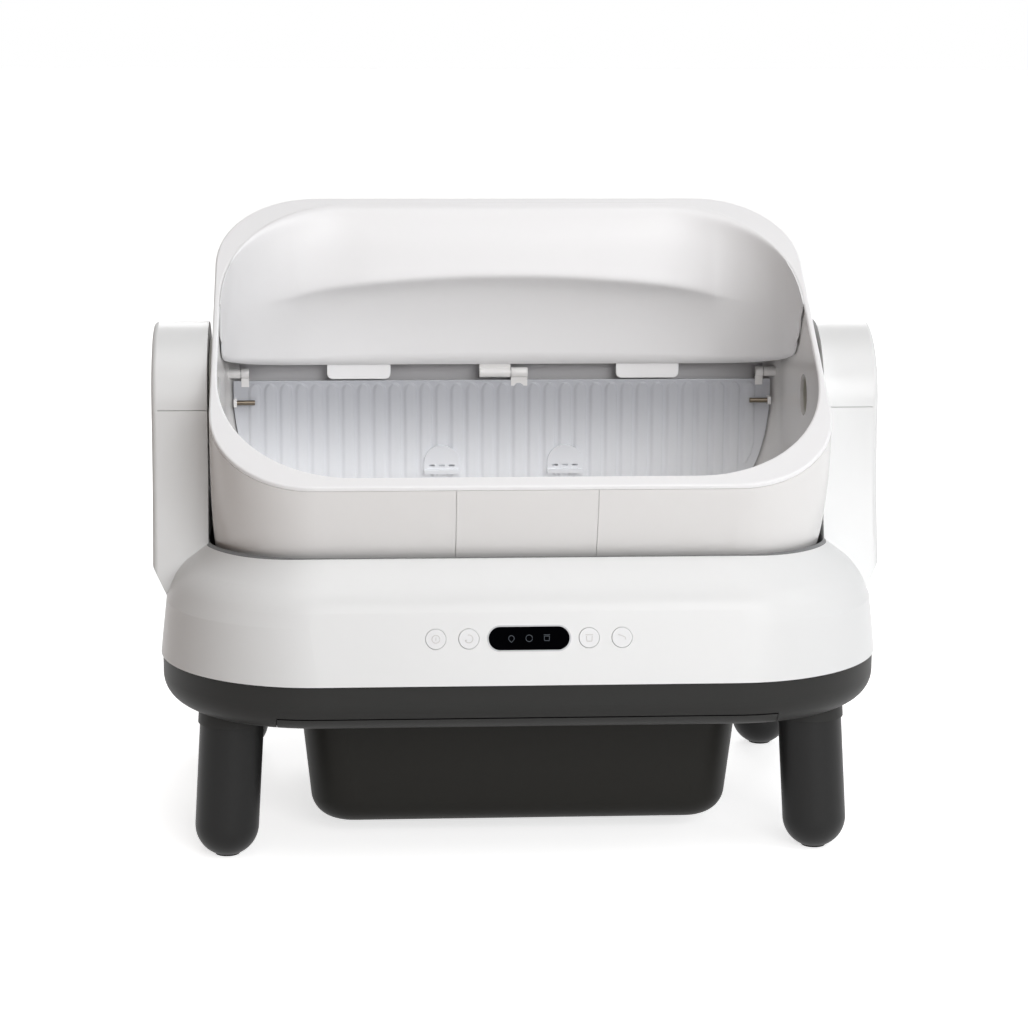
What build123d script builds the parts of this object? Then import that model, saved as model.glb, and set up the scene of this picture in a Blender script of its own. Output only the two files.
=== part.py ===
from build123d import *
from math import acos, atan2, cos, floor, pi, radians, sin, sqrt, tan
import os

# Self-cleaning litter box with an open-top drum that turns between two towers.
# Frame: X to the right, Y to the back, Z up, origin on the floor under the drum's axis.
# All lengths are in millimetres and all angles in degrees.

# Fits
seat_gap = 0.2          # fastened pieces that don't bear on each other
part_gap = 0.5          # pieces that move past each other
running_fit = 0.05      # radial clearance of a shaft in its bush
overrun = 6             # how far a cutting shape runs past what it cuts

# Drum
drum_radius = 203
drum_half_length = 253
drum_corner = 85        # rounding between the barrel and its ends
drum_wall = 3
drum_gap = 4            # running gap between drum and cradle
mouth_tilt = 31         # the mouth faces up and forward by this angle
mouth_offset = 69       # mouth plane from the drum's axis
rim_front_width = 12
rim_side_width = 5
rim_inner_corner = 112  # the mouth's corners are rounder than the drum's
rim_depth = 3
rim_round_share = 0.35  # edge rounding as a share of the rim's narrowest width
front_panel_half_width = 56
front_panel_skin = 1.4
front_panel_drop = 150  # lower edge of the panel below the drum's axis
seam_width = 0.6

# Hood, the closed wall behind the mouth that hides the litter store
hood_wall = 2.5
hood_plan_corner = 60   # rounding of the hood seen from above
hood_end_gap = 1        # crevice between the hood and the drum's ends
hood_foot_rise = 8      # lower edge of the hood above the flap's hinge
cheek_front = 22        # front end of the hood's cheeks behind the drum's axis
cheek_lean = 22         # how far the cheek's front edge leans forward at the mouth
cheek_rise = 26         # cheek's lower edge rises by this towards the front
cheek_corner = 24
hood_tab_inner = 102
hood_tab_outer = 159
hood_tab_skin = 2.4
hood_tab_height = 20
hood_tab_drop = 5.5     # lower edge of the tab below the flap's hinge
hood_tab_corner = 5
# Section from the rim down to the foot: share of the way down, share of bulge forward
hood_section_shares = (
    (-0.225, -0.2), (-0.075, -0.06), (0.075, 0.065), (0.225, 0.135), (0.375, 0.155), (0.525, 0.07),
    (0.675, 0.015), (0.825, 0.002), (0.975, 0), (1.125, 0), (1.275, 0),
)

# Flap
store_depth = 61        # litter store, from the flap's hinge axis back to the drum's outside
flap_drop = 1           # hinge axis below the drum's axis
flap_sheet = 3
flap_top_drop = 9.5     # top edge of the sheet below the hinge
flap_edge_gap = 1.2     # between the sheet's edge and the drum's inside
rib_pitch = 14
rib_width = 10
rib_height = 2
rib_top_drop = 12
rib_foot = 18           # ribs end this far above the sheet's edge
rib_margin = 12         # outermost rib from the sheet's end
knuckle_radius = 4.5
hinge_pin_radius = 2
hood_knuckle_length = 28
flap_knuckle_length = 15
end_knuckle_length = 7
keeper_drop = 26
keeper_pin_radius = 2.2
keeper_pin_length = 16
keeper_stub_length = 3
keeper_stub_wall = 1.4
finger_tab_offset = 56
finger_tab_radius = 16
finger_tab_skin = 3
finger_tab_drop = 82
finger_tab_skirt = 10
finger_bar_height = 4
finger_bar_depth = 3
finger_slot_width = 5
finger_slot_height = 1.6
finger_slot_pitch = 9
finger_slot_drop = 2.5  # slots below the foot of the dome

# Drum hubs and bushes
hub_bore = 18
hub_radius = 28
hub_flange_radius = 50
hub_flange = 3
bush_wall = 4
bush_length = 10
bush_housing_wall = 4

# Base: pan, casing, cradle and chute
leg_height = 121        # underside of the pan above the floor
pan_height = 39
pan_wall = 3
pan_round = 22
pan_inset = 1.5         # the dark pan stands back from the casing
bin_recess = 12         # the bin's top and lip sit this deep in the pan's underside
cradle_lift = 7         # cradle above the ceiling of that recess
cradle_wall = 3
casing_wall = 3
deck_drop = 100         # casing deck below the drum's axis
deck_land = 1.5         # flat rim of the deck in front of the cradle
deck_side_inset = 12    # deck's sides inside the faces of the towers
band_drop = 26          # height of the sloping band under the deck
band_run = 27
band_side_run = 36
waist_drop = 22         # lower end of the rounded shoulder under the band
waist_side_run = 10
face_run = 17           # how far the front face leans back
face_side_run = 5
base_corner = 130
shoulder_round = 40     # rounding of the crease under the sloping band
deck_round = 3
chute_half_width = 140
chute_half_depth = 75
chute_wall = 2.5
chute_flange = 8

# Towers
tower_radius = 65
tower_foot_half_width = 95
tower_drop = 150        # foot of the tower below the drum's axis
tower_depth = 41
tower_wall = 3
tower_seam = 0.5
cover_depth = 5
cover_round = 4.5
foot_taper_rise = 23    # height of the tower's slanted underside

# Drive in the right-hand tower
gear_module = 2.5
drum_gear_teeth = 44
pinion_teeth = 16
pressure_angle = 25
gear_backlash = 0.4
gear_width = 11
tooth_root_share = 1.25  # root depth in modules
pinion_shaft_radius = 4
pinion_shaft_depth = 14
gearbox_depth = 26
gearbox_half_width = 24
gearbox_top = 20
gearbox_bottom = 26
gearbox_round = 6
motor_radius = 12
motor_length = 50
motor_chamfer = 1.2
sensor_radius = 44      # home magnet from the drum's axis
magnet_radius = 4
sensor_size = 12
sensor_depth = 5

# Legs
leg_radius = 26
leg_inset_x = 59.5
leg_inset_y = 84
leg_splay = 3.4
collar_radius = 27.5
collar_height = 10
foot_flat = 1           # the domed foot is cut this deep, for its pad
foot_pad_radius = 10
foot_pad_height = 1.6
load_cell_width = 16
load_cell_length = 44
load_cell_height = 11

# Waste bin and its rails
rail_wall = 3
rail_clearance = 12.8
bin_slide_gap = 1.2
rail_fit = 0.3
bin_flange_width = 8
bin_flange = 3
bin_floor = 13.8        # underside of the tub above the ground
bin_setback = 57        # tub behind the lip
bin_length = 345
bin_draft = 12
bin_corner = 36
bin_round = 22
bin_wall = 2.5
bin_lip_thickness = 8
bin_lip_side = 7

# Controls on the front face
control_rise_share = 0.64355  # place of the controls on the flat part of the front face
button_radius = 8
button_proud = 0.6
button_round = 0.4
button_flange = 1.2
button_flange_step = 1.6
button_travel = 1
button_side_gap = 0.3
button_inner_offset = 47.5
button_outer_offset = 73.5
display_length = 64
display_height = 18.5
display_skin = 1.8
bezel_width = 1.2
bezel_proud = 0.3
board_setback = 12
board_sheet = 1.6
board_margin = 16
board_height = 34
board_post_radius = 3.5
switch_size = 6

# Power inlet at the back
inlet_offset = 190
inlet_rise = 31
inlet_radius = 6
inlet_bore = 3.2
inlet_pin_radius = 1
inlet_depth = 14
inlet_socket_depth = 10
inlet_flange_radius = 8
inlet_flange = 1.2

# Screws under the pan
screw_head_radius = 4
screw_radius = 2
screw_head_height = 1.8
screw_inset = 46        # from the base's sides
screw_setback = 60

# Levels and reaches that follow from the sizes above
cradle_radius = drum_radius + drum_gap
recess_top = leg_height + bin_recess
axis_height = recess_top + pan_wall + cradle_lift + cradle_wall + cradle_radius
casing_floor = leg_height + pan_height
inlet_height = casing_floor + inlet_rise
pan_floor = leg_height + pan_wall
deck_height = axis_height - deck_drop
crease_height = deck_height - band_drop
waist_height = crease_height - waist_drop
face_height = crease_height - casing_floor
face_slope = face_run / face_height
face_turn = atan2(face_slope, 1)
crease_turn = atan2(band_run, band_drop) - face_turn
face_flat = face_height - shoulder_round * tan(crease_turn / 2) * cos(face_turn)
control_rise = control_rise_share * face_flat
control_height = casing_floor + control_rise
deck_half_depth = sqrt((cradle_radius + cradle_wall) ** 2 - deck_drop ** 2) + deck_land
crease_half_depth = deck_half_depth + band_run
waist_half_depth = crease_half_depth + waist_drop * face_slope
base_half_depth = crease_half_depth + face_run
tower_face = drum_half_length + drum_gap
tower_end = tower_face + tower_depth
cover_end = tower_end + cover_depth
deck_half_width = tower_face - deck_side_inset
crease_half_width = deck_half_width + band_side_run
waist_half_width = crease_half_width + waist_side_run
base_half_width = waist_half_width + face_side_run
rim_level = mouth_offset - rim_depth
hinge_height = axis_height - flap_drop
flap_setback = drum_radius - store_depth
gear_radius = gear_module * drum_gear_teeth / 2
pinion_radius = gear_module * pinion_teeth / 2
pinion_height = axis_height - gear_radius - pinion_radius
bush_radius = hub_radius + running_fit + bush_wall
drive_face = tower_face + tower_wall
gear_start = drive_face + gearbox_depth + part_gap
gear_end = gear_start + gear_width
leg_x = base_half_width - leg_inset_x
leg_y = base_half_depth - leg_inset_y
collar_floor = leg_height - collar_height
rail_outer = leg_x - collar_radius - rail_clearance
bin_flange_half_width = rail_outer - rail_wall - bin_slide_gap
bin_half_width = bin_flange_half_width - bin_flange_width
bin_top = recess_top - bin_slide_gap
bin_front = pan_inset + pan_round - base_half_depth
bin_wall_front = bin_front + bin_lip_thickness
bin_back = bin_front + bin_length
lip_half_width = bin_flange_half_width + bin_lip_side
recess_half_width = lip_half_width + part_gap
span = 2 * (drum_half_length + drum_radius)

parts = {}


def slab_x(outline, start, end):
    """An outline drawn as (Y, Z), extruded along X."""
    return extrude(Plane.YZ.offset(start) * outline, amount=end - start)


def rod_x(radius, start, end, setback=0, height=axis_height):
    """A round bar along X."""
    return slab_x(Pos(setback, height) * Circle(radius), start, end)


def ring_x(radius, bore, start, end, setback=0, height=axis_height):
    """A round tube along X."""
    return slab_x(Pos(setback, height) * (Circle(radius) - Circle(bore)), start, end)


def slab_y(outline, start, end):
    """An outline drawn as (X, Z), extruded along Y."""
    return extrude(Plane.XZ.offset(-start) * outline, amount=start - end)


def slab_z(outline, start, end):
    """An outline drawn as (X, Y), extruded along Z."""
    return extrude(Pos(0, 0, start) * outline, amount=end - start)


def block(low, high):
    """A box between two opposite corners."""
    size = [b - a for a, b in zip(low, high)]
    middle = [(a + b) / 2 for a, b in zip(low, high)]
    return Pos(*middle) * Box(*size)


def layer(low, high):
    """Everything between two heights."""
    return block((-span, -span, low), (span, span, high))


def group(pieces):
    """Separate solids kept together in one node."""
    return Compound(children=list(pieces))


def mirrored(piece):
    return mirror(piece, about=Plane.YZ)


# Drum

drum_corner_x = drum_half_length - drum_corner
drum_corner_radius = drum_radius - drum_corner


def barrel(half_length, radius, corner):
    """A form of revolution about the drum's axis, with rounded ends."""
    profile = RectangleRounded(2 * half_length, 2 * radius, corner)
    upper = profile & Pos(0, radius) * Rectangle(span, 2 * radius)
    return Pos(0, 0, axis_height) * revolve(upper, Axis.X)


def drum_form(inset):
    return barrel(drum_half_length - inset, drum_radius - inset, drum_corner - inset)


def drum_reach_x(distance, inset):
    """Half length of the inset drum form at that distance from the axis."""
    beyond = max(distance - drum_corner_radius, 0)
    return drum_corner_x + sqrt((drum_corner - inset) ** 2 - beyond ** 2)


def drum_reach_radius(x, inset):
    """Radius of the inset drum form at that place along the axis."""
    beyond = max(abs(x) - drum_corner_x, 0)
    return drum_corner_radius + sqrt((drum_corner - inset) ** 2 - beyond ** 2)


mouth_frame = Pos(0, 0, axis_height) * Rot(mouth_tilt, 0, 0)


def below_mouth(level):
    """Everything under a plane parallel to the mouth, that far from the axis."""
    under = Box(span, span, span, align=(Align.CENTER, Align.CENTER, Align.MAX))
    return mouth_frame * (Pos(0, 0, level) * under)


def mouth_to_section(setback, level):
    """A point of the tilted mouth frame as (Y, Z) of the upright section."""
    turn = radians(mouth_tilt)
    y = setback * cos(turn) - level * sin(turn)
    z = setback * sin(turn) + level * cos(turn)
    return Vector(y, axis_height + z)


hub_hole = rod_x(hub_bore, -span, span)
magnet_hole = rod_x(magnet_radius, -span, 0, 0, axis_height - sensor_radius)
hinge_distance = flap_setback + knuckle_radius
end_knuckle_end = drum_reach_x(hinge_distance, drum_wall + flap_edge_gap)
end_lug_start = end_knuckle_end - end_knuckle_length
end_knuckle_start = end_lug_start - part_gap - end_knuckle_length


def drum_shell():
    """Barrel with an open mouth, a bed for the front panel and lugs for the flap."""
    skin = (drum_form(0) - drum_form(drum_wall)) & below_mouth(rim_level)
    skin -= below_mouth(rim_level) - below_mouth(rim_level - seam_width) - drum_form(drum_wall / 2)
    side = front_panel_half_width + seam_width
    foot = axis_height - front_panel_drop - seam_width
    bed = block((-side, -span, foot), (side, 0, axis_height))
    bed -= drum_form(front_panel_skin + seat_gap)
    lug = rod_x(knuckle_radius, end_lug_start, span / 2, flap_setback, hinge_height)
    lug &= drum_form(drum_wall / 2)
    bore = rod_x(hinge_pin_radius, -end_knuckle_end, end_knuckle_end, flap_setback, hinge_height)
    return skin - bed - hub_hole + lug + mirrored(lug) - bore


def front_panel():
    """Curved panel between the two seams of the front wall."""
    skin = (drum_form(0) - drum_form(front_panel_skin)) & below_mouth(rim_level - seam_width)
    low = (-front_panel_half_width, -span, axis_height - front_panel_drop)
    return skin & block(low, (front_panel_half_width, 0, axis_height))


def drum_rim():
    """Flat lip round the mouth, broad at its corners, with rounded edges."""
    mouth = barrel(drum_half_length - rim_side_width, drum_radius - rim_front_width, rim_inner_corner)
    lip = (drum_form(0) & below_mouth(mouth_offset)) - below_mouth(rim_level) - mouth
    top = lip.faces().sort_by(Axis.Z)[-1]
    for face in lip.faces():
        if face.geom_type == GeomType.PLANE and face.normal_at().Z > 0:
            top = face
    return fillet(top.edges(), rim_round_share * rim_side_width)


def hub(end):
    """Flanged hollow trunnion that carries the drum in its tower."""
    flange_end = drum_half_length + hub_flange
    flange = ring_x(hub_flange_radius, hub_bore, drum_half_length, flange_end)
    return flange + ring_x(hub_radius, hub_bore, flange_end, end)


parts["drum_shell"] = drum_shell()
parts["front_panel"] = front_panel()
parts["drum_rim"] = drum_rim()
parts["right_hub"] = hub(gear_end)
parts["left_hub"] = mirrored(hub(tower_face + bush_length + bush_wall)) - magnet_hole
magnet_end = -drum_half_length - hub_flange
parts["home_magnet"] = rod_x(magnet_radius, magnet_end, -drum_half_length, 0, axis_height - sensor_radius)

# Hood with the fixed half of the flap's hinge

hood_top = mouth_to_section(sqrt((drum_radius - rim_front_width) ** 2 - rim_level ** 2), rim_level)
hood_foot = Vector(flap_setback - hood_wall / 2, hinge_height + hood_foot_rise)
hood_fall = hood_foot - hood_top
hood_forward = Vector(hood_fall.Y, -hood_fall.X)
centre_knuckle_start = -(hood_knuckle_length + part_gap + flap_knuckle_length) / 2
centre_lug_end = centre_knuckle_start + hood_knuckle_length
flap_knuckle_start = centre_lug_end + part_gap
flap_knuckle_end = flap_knuckle_start + flap_knuckle_length


def hood_form(outset):
    """Space in front of the hood, rounded in plan, its back following the section."""
    half_width = drum_half_length - drum_wall - hood_end_gap - hood_wall + outset
    sections = []
    for down, out in hood_section_shares:
        point = hood_top + hood_fall * down + hood_forward * out
        half_depth = (drum_radius + point.X + outset) / 2
        outline = RectangleRounded(2 * half_width, 2 * half_depth, hood_plan_corner + outset)
        sections.append(Pos(0, half_depth - drum_radius, point.Y) * outline)
    return loft(sections[::-1])


def hood():
    """Bulging liner behind the mouth, with cheeks that reach along the drum's ends."""
    foot = hood_foot.Y
    side = Polyline(
        (drum_radius, foot),
        (hood_foot.X, foot),
        (cheek_front, foot + cheek_rise),
        (cheek_front - cheek_lean, axis_height + mouth_offset),
        (cheek_front - cheek_lean, axis_height + drum_radius),
        (drum_radius, axis_height + drum_radius),
        close=True,
    )
    side = make_face(side)
    corner = side.vertices().sort_by_distance((cheek_front, foot + cheek_rise))[0]
    side = fillet(corner, cheek_corner)
    wall = (hood_form(hood_wall) - hood_form(0)) & slab_x(side, -span / 2, span / 2)
    return wall & drum_form(drum_wall + hood_end_gap) & below_mouth(rim_level)


def hood_lug():
    """Fixed knuckle of the flap's hinge, on an arm under the hood's lower edge."""
    low = (centre_knuckle_start, hood_foot.X, hinge_height)
    arm = block(low, (centre_lug_end, hood_foot.X + hood_wall, hood_foot.Y))
    knuckle = rod_x(knuckle_radius, centre_knuckle_start, centre_lug_end, flap_setback, hinge_height)
    bore_start = centre_knuckle_start - overrun
    bore = rod_x(hinge_pin_radius, bore_start, centre_lug_end + overrun, flap_setback, hinge_height)
    return arm + knuckle - bore


def hood_tab():
    """Rounded tab that clips round the hood's lower edge."""
    width = hood_tab_outer - hood_tab_inner
    middle = hinge_height - hood_tab_drop + hood_tab_height / 2
    shape = RectangleRounded(width, hood_tab_height, hood_tab_corner)
    shape = Pos(hood_tab_inner + width / 2, middle) * shape
    front = hood_foot.X - hood_tab_skin
    hook = slab_y(shape, front, hood_foot.X + hood_wall) & layer(0, hood_foot.Y)
    return slab_y(shape, front, flap_setback) + hook - parts["hood"]


def hinge_pins():
    """One pin in the middle and one at each end, all on the flap's hinge axis."""
    place = (flap_setback, hinge_height)
    middle = rod_x(hinge_pin_radius, centre_knuckle_start, flap_knuckle_end, *place)
    end = rod_x(hinge_pin_radius, end_knuckle_start, end_knuckle_end, *place)
    return group([middle, end, mirrored(end)])


parts["hood"] = hood()
parts["hood_lug"] = hood_lug()
parts["right_hood_tab"] = hood_tab()
parts["left_hood_tab"] = mirrored(parts["right_hood_tab"])
parts["hinge_pins"] = hinge_pins()

# Flap: a ribbed sheet that hangs from the hood in front of the litter store

flap_inset = drum_wall + flap_edge_gap
sheet_back = flap_setback + flap_sheet
sheet_top = hinge_height - flap_top_drop
rib_face = flap_setback - rib_height
keeper_height = hinge_height - keeper_drop
keeper_setback = rib_face - part_gap - keeper_pin_radius
keeper_end = drum_reach_x(sheet_back, flap_inset) - flap_edge_gap
keeper_stub_start = keeper_end - keeper_stub_length


def sheet_floor(x):
    """Height of the sheet's lower edge at that place along the drum."""
    radius = drum_reach_radius(x, flap_inset)
    return axis_height - sqrt(radius ** 2 - sheet_back ** 2)


def flap_knuckle(start, end):
    """Moving knuckle with the arm that joins it to the sheet."""
    arm = block((start, flap_setback, sheet_top - flap_sheet), (end, sheet_back, hinge_height))
    knuckle = rod_x(knuckle_radius, start, end, flap_setback, hinge_height) + arm
    bore = hinge_pin_radius + running_fit
    return knuckle - rod_x(bore, start - overrun, end + overrun, flap_setback, hinge_height)


def flap():
    sheet = block((-span / 2, flap_setback, 0), (span / 2, sheet_back, sheet_top))
    sheet &= drum_form(flap_inset)
    half_width = drum_reach_x(sheet_back, flap_inset) - rib_margin
    rib_count = floor((half_width - rib_width / 2) / rib_pitch)
    rib_top = hinge_height - rib_top_drop
    ribs = []
    for index in range(-rib_count, rib_count + 1):
        x = index * rib_pitch
        foot = sheet_floor(abs(x) + rib_width / 2) + rib_foot
        outline = RectangleRounded(rib_width, rib_top - foot, rib_width / 2 - seat_gap)
        ribs.append(slab_y(Pos(x, (rib_top + foot) / 2) * outline, rib_face, flap_setback))
    stub_radius = keeper_pin_radius + keeper_stub_wall
    stub_low = (keeper_stub_start, keeper_setback - stub_radius, keeper_height - stub_radius)
    stub = block(stub_low, (keeper_end, sheet_back, keeper_height + stub_radius))
    panel = sheet + ribs + [stub, mirrored(stub)]
    end_knuckle = flap_knuckle(end_knuckle_start, end_lug_start - part_gap)
    panel += flap_knuckle(flap_knuckle_start, flap_knuckle_end)
    panel += [end_knuckle, mirrored(end_knuckle)]
    keeper_seat = rod_x(keeper_pin_radius, keeper_stub_start, keeper_end, keeper_setback, keeper_height)
    return panel - [keeper_seat, mirrored(keeper_seat)]


def finger_tab(middle):
    """Domed tab with a foot bar and three small slots, on the ribs near the flap's foot."""
    level = hinge_height - finger_tab_drop
    skirt = Pos(0, -finger_tab_skirt / 2) * Rectangle(2 * finger_tab_radius, finger_tab_skirt)
    dome = Circle(finger_tab_radius) & Pos(0, finger_tab_radius) * Rectangle(span, 2 * finger_tab_radius)
    shape = dome + skirt
    slot = Rectangle(finger_slot_width, finger_slot_height)
    for step in (-1, 0, 1):
        shape -= Pos(step * finger_slot_pitch, -finger_slot_drop) * slot
    front = rib_face - finger_tab_skin
    tab = slab_y(Pos(middle, level) * shape, front, rib_face)
    bar_low = (middle - finger_tab_radius, front - finger_bar_depth, level - finger_tab_skirt)
    return tab + block(bar_low, (middle + finger_tab_radius, front, bar_low[2] + finger_bar_height))


parts["flap"] = flap()
parts["left_finger_tab"] = finger_tab(-finger_tab_offset)
parts["right_finger_tab"] = finger_tab(finger_tab_offset)
pin_start = keeper_stub_start - keeper_pin_length
keeper = rod_x(keeper_pin_radius, pin_start, keeper_end, keeper_setback, keeper_height)
parts["keeper_pins"] = group([keeper, mirrored(keeper)])

# Base casing

casing_sections = (
    (casing_floor, base_half_width, base_half_depth),
    (waist_height, waist_half_width, waist_half_depth),
    (crease_height, crease_half_width, crease_half_depth),
    (deck_height, deck_half_width, deck_half_depth),
)


def rounded(half_width, half_depth, corner, level):
    """A rounded rectangle lying at that height."""
    return Pos(0, 0, level) * RectangleRounded(2 * half_width, 2 * half_depth, corner)


def casing_form(inset):
    """Outer form of the casing, a tapered rounded block, or the hollow inside it."""
    sections = []
    for level, half_width, half_depth in casing_sections:
        corner = base_corner - base_half_depth + half_depth - inset
        if level == casing_floor and inset:
            sections.append(rounded(half_width - inset, half_depth - inset, corner, level - inset))
        if level == deck_height:
            level -= inset
        sections.append(rounded(half_width - inset, half_depth - inset, corner, level))
    form = loft(sections, ruled=True)
    crease = form.edges().filter_by_position(Axis.Z, crease_height - seat_gap, crease_height + seat_gap)
    return fillet(crease, shoulder_round - inset)


casing_block = casing_form(0)
casing_block = fillet(casing_block.edges().group_by(Axis.Z)[-1], deck_round)
face_y = control_rise * face_slope - base_half_depth
face_frame = Plane((0, face_y, control_height), (1, 0, 0), (0, -cos(face_turn), sin(face_turn)))
back_y = base_half_depth - inlet_rise * face_slope
back_frame = Plane((inlet_offset, back_y, inlet_height), (-1, 0, 0), (0, cos(face_turn), sin(face_turn)))
button_offsets = {
    "left_outer_button": -button_outer_offset,
    "left_inner_button": -button_inner_offset,
    "right_inner_button": button_inner_offset,
    "right_outer_button": button_outer_offset,
}


def on_face(frame, outline, low, high):
    """An outline on a tilted face, extruded between two depths along the face's normal."""
    return extrude(frame.offset(low) * outline, amount=high - low)


board_half_length = button_outer_offset + button_radius + board_margin
post_offset = board_half_length - board_post_radius
post_rise = board_height / 2 - board_post_radius


def base_shell():
    """White casing, open below and round the cradle, with its holes and board posts."""
    shell = casing_block - casing_form(casing_wall)
    shell -= drum_form(-drum_gap - cradle_wall - seat_gap)
    for offset in button_offsets.values():
        hole = Pos(offset, 0) * Circle(button_radius + button_side_gap)
        shell -= on_face(face_frame, hole, -board_setback, overrun)
    window = SlotOverall(display_length + 2 * bezel_width, display_height + 2 * bezel_width)
    shell -= on_face(face_frame, window, -display_skin, overrun)
    for x in (-post_offset, post_offset):
        for y in (-post_rise, post_rise):
            post = Pos(x, y) * Circle(board_post_radius)
            shell += on_face(face_frame, post, -board_setback, -casing_wall / 2)
    shell -= on_face(back_frame, Circle(inlet_radius + seat_gap), -inlet_depth, overrun)
    reach = motor_radius + part_gap
    low = (drive_face, -reach, waist_height)
    return shell - block(low, (drive_face + 2 * reach, reach, deck_height))


def cradle():
    """Trough under the drum, with the opening that waste drops through."""
    trough = drum_form(-drum_gap - cradle_wall) - drum_form(-drum_gap)
    trough -= layer(casing_floor, span) - casing_block
    low = (-chute_half_width, -chute_half_depth, 0)
    return trough - block(low, (chute_half_width, chute_half_depth, axis_height))


def chute():
    """Square duct from the cradle down through the pan."""
    outer_x = chute_half_width + chute_wall
    outer_y = chute_half_depth + chute_wall
    duct = block((-outer_x, -outer_y, recess_top), (outer_x, outer_y, axis_height))
    rim_x = outer_x + chute_flange
    rim_y = outer_y + chute_flange
    ceiling = recess_top + pan_wall
    duct += block((-rim_x, -rim_y, ceiling), (rim_x, rim_y, ceiling + chute_wall))
    duct -= drum_form(-drum_gap - cradle_wall - seat_gap)
    hollow_low = (-chute_half_width, -chute_half_depth, leg_height)
    return duct - block(hollow_low, (chute_half_width, chute_half_depth, axis_height))


parts["base_shell"] = base_shell()
parts["cradle"] = cradle()
parts["chute"] = chute()

# Pan, legs and feet


def leg_frame(side, end):
    """Frame at the pan's underside whose Z runs down the splayed leg."""
    slope = tan(radians(leg_splay))
    return Plane((side * leg_x, end * leg_y, leg_height), (0, 1, 0), (side * slope, end * slope, -1))


def pan_form(inset):
    """The pan's rounded outer form, or the hollow inside it."""
    half_width = base_half_width - pan_inset - inset
    half_depth = base_half_depth - pan_inset - inset
    corner = base_corner - pan_inset - inset
    outline = RectangleRounded(2 * half_width, 2 * half_depth, corner)
    form = slab_z(outline, leg_height + inset, casing_floor + inset)
    return fillet(form.edges().group_by(Axis.Z)[0], pan_round - inset)


def base_pan():
    """Dark pan with a recess for the bin, leg collars and the chute's opening."""
    outer = pan_form(0)
    pan = outer - pan_form(pan_wall)
    roof_x = recess_half_width + pan_wall
    roof_back = bin_back + part_gap + pan_wall
    pan += outer & block((-roof_x, -span, leg_height), (roof_x, roof_back, recess_top + pan_wall))
    recess_low = (-recess_half_width, -span, 0)
    pan -= block(recess_low, (recess_half_width, bin_back + part_gap, recess_top))
    outer_x = chute_half_width + chute_wall + seat_gap
    outer_y = chute_half_depth + chute_wall + seat_gap
    pan -= block((-outer_x, -outer_y, 0), (outer_x, outer_y, casing_floor))
    for side, end in leg_places.values():
        collar = on_face(leg_frame(side, end), Circle(collar_radius), -leg_height, leg_height)
        pan += collar & layer(collar_floor, pan_floor)
    for x, y in screw_places:
        pan -= Pos(x, y, leg_height) * Cylinder(screw_head_radius + seat_gap, 2 * screw_head_height)
        pan -= Pos(x, y, leg_height) * Cylinder(screw_radius, 4 * pan_wall)
    return pan


def pan_screw(x, y):
    """Pan-head screw in its counterbore."""
    head = slab_z(Circle(screw_head_radius), leg_height, leg_height + screw_head_height)
    shank = slab_z(Circle(screw_radius), leg_height + screw_head_height, pan_floor + screw_radius)
    return Pos(x, y, 0) * (head + shank)


def leg(side, end):
    """Splayed round leg with a domed foot, cut flat for its pad."""
    frame = leg_frame(side, end)
    fall = cos(atan2(sqrt(2) * tan(radians(leg_splay)), 1))
    reach = (leg_height - leg_radius + foot_flat) / fall
    shape = on_face(frame, Circle(leg_radius), 0, reach)
    shape += frame.offset(reach) * Sphere(leg_radius)
    return shape & layer(foot_pad_height, collar_floor)


def foot_pad(side, end):
    """Round pad under the cut face of a foot."""
    drop = leg_height - leg_radius + foot_flat
    shift = drop * tan(radians(leg_splay))
    place = Pos(side * (leg_x + shift), end * (leg_y + shift), 0)
    return place * slab_z(Circle(foot_pad_radius), 0, foot_pad_height)


def load_cell(side, end):
    """Weight sensor on the pan's floor over a leg."""
    low = (-load_cell_width / 2, -load_cell_length / 2, pan_floor)
    high = (load_cell_width / 2, load_cell_length / 2, pan_floor + load_cell_height)
    return Pos(side * leg_x, end * leg_y, 0) * block(low, high)


leg_places = {
    "front_left": (-1, -1),
    "front_right": (1, -1),
    "rear_left": (-1, 1),
    "rear_right": (1, 1),
}
screw_x = base_half_width - screw_inset
screw_places = [(side * screw_x, end * screw_setback) for side, end in leg_places.values()]
parts["base_pan"] = base_pan()
parts["pan_screws"] = group(pan_screw(x, y) for x, y in screw_places)
for place, (side, end) in leg_places.items():
    parts[place + "_leg"] = leg(side, end)
    parts[place + "_foot_pad"] = foot_pad(side, end)
parts["load_cells"] = group(load_cell(side, end) for side, end in leg_places.values())

# Towers


def skirt(inset):
    """Lower half of a tower's side view, flaring out towards the base."""
    top = tower_radius - inset
    foot = tower_foot_half_width - inset
    outline = make_face([
        Line((-top, 0), (top, 0)),
        TangentArc((top, 0), (foot, -tower_drop), tangent=(0, -1)),
        Line((foot, -tower_drop), (-foot, -tower_drop)),
        TangentArc((-top, 0), (-foot, -tower_drop), tangent=(0, -1)),
    ])
    return Pos(0, axis_height) * outline


def arch(inset):
    """Upper half of a tower's side view, a half circle about the drum's axis."""
    radius = tower_radius - inset
    return Pos(0, axis_height) * (Circle(radius) & Pos(0, radius) * Rectangle(span, 2 * radius))


bush_housing = ring_x(bush_radius + bush_housing_wall, bush_radius, tower_face, tower_face + bush_length)
bush_hole = rod_x(bush_radius, tower_face - overrun, tower_end)
lower_half = layer(-span, axis_height - tower_seam / 2)
upper_half = layer(axis_height + tower_seam / 2, span)


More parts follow.
